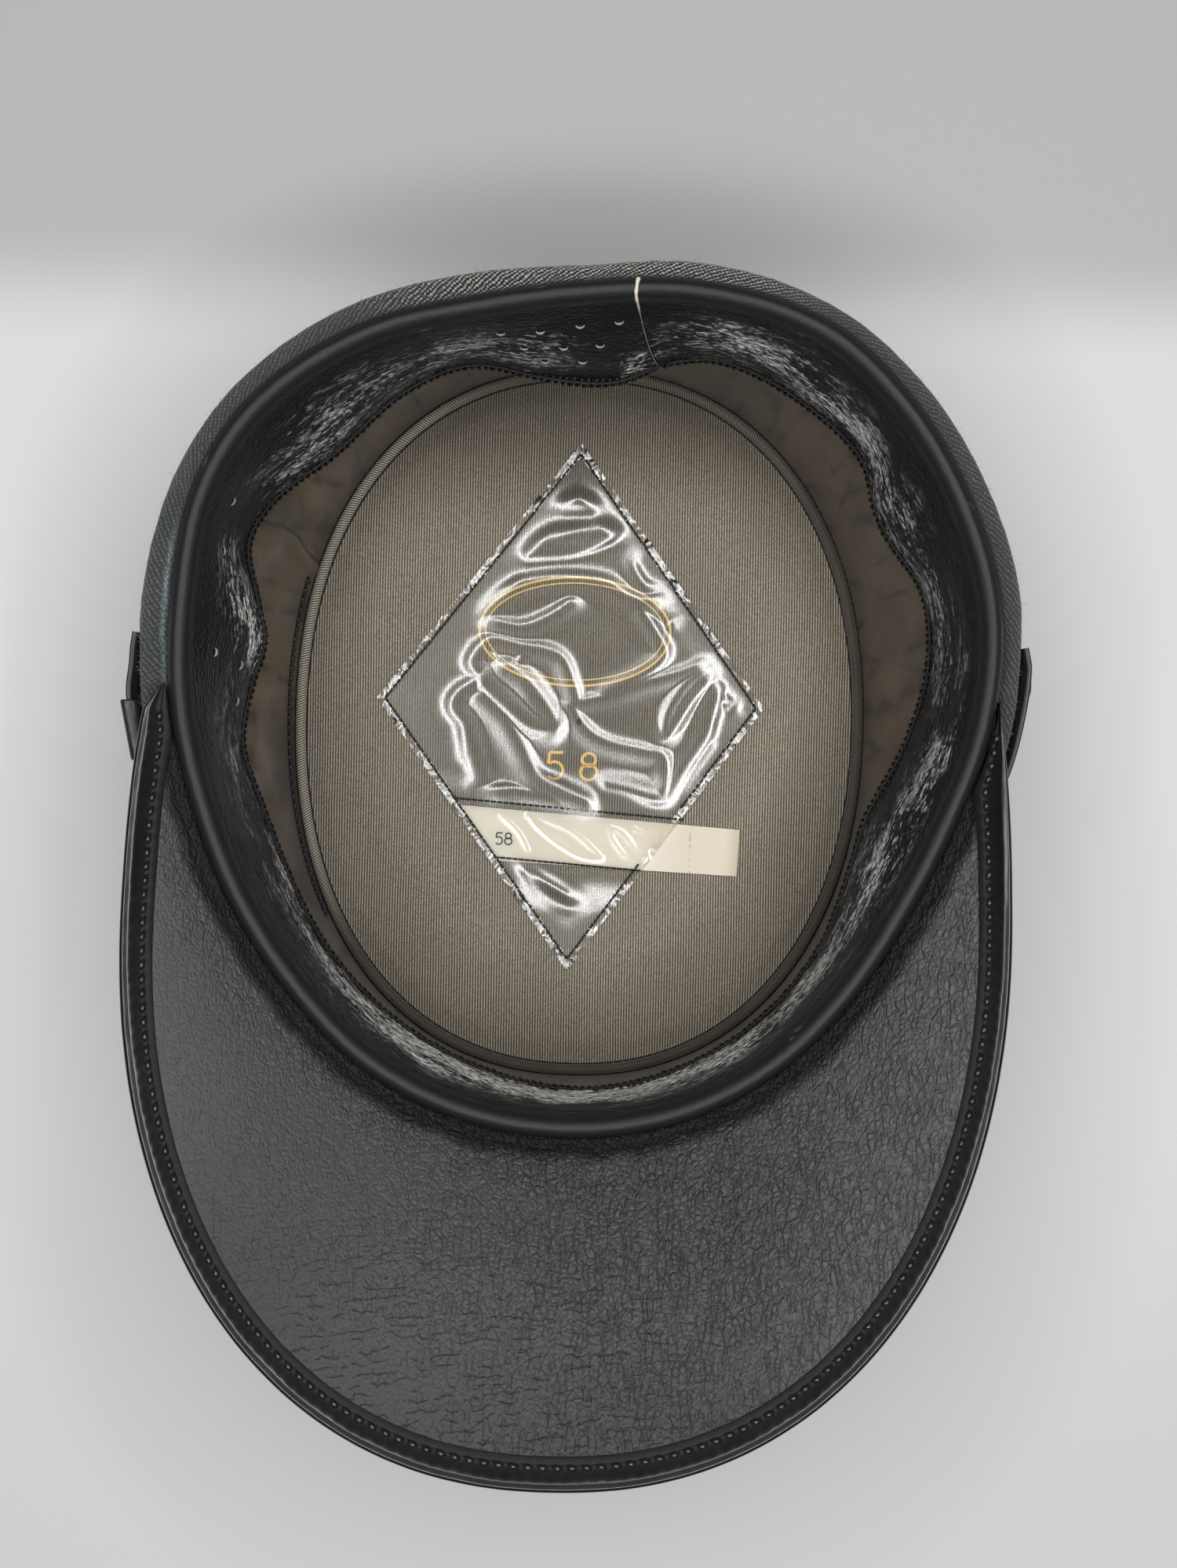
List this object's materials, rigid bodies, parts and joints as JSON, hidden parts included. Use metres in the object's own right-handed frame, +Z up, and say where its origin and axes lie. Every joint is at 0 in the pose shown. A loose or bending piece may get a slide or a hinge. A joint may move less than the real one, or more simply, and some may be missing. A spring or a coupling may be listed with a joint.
{
  "type": "kepi",
  "caption": "Stiff uniform cap with a flat crown, a lined side wall, a leather sweatband, a bound patent visor and a chin strap, lying upside down.",
  "frame": {"origin": "middle of the crown's outer face, which the upside-down cap rests on", "axes": "+Z up out of the head opening, -Y to the visor's tip, +Y to the back of the cap"},
  "size_m": [0.2071, 0.2658, 0.1177],
  "materials": {
    "cloth": "grey-green wool twill",
    "side_lining": "brown satin",
    "crown_lining": "brown-grey ribbed lining",
    "piping": "covered cord",
    "sweatband_leather": "black, worn, soft sheen",
    "clear_plastic": "clear, creased",
    "card": "cream card",
    "patent_leather": "black patent gloss",
    "visor_leatherette": "dark grey grained leatherette",
    "visor_binding": "glossy black binding",
    "strap_leather": "black, smooth",
    "stud": "blackened, plain"
  },
  "bodies": {
    "root": {"crown_top": "cloth", "crown_side": "cloth", "side_lining": "side_lining", "crown_lining": "crown_lining", "lining_piping": "piping", "sweatband": "sweatband_leather", "sweat_shield": "clear_plastic", "name_card": "card", "visor_shell": "patent_leather", "visor_lining": "visor_leatherette", "visor_binding": "visor_binding", "chin_strap": "strap_leather", "strap_slider": "strap_leather", "side_stud_left": "stud", "side_stud_right": "stud"}
  },
  "joints": []
}
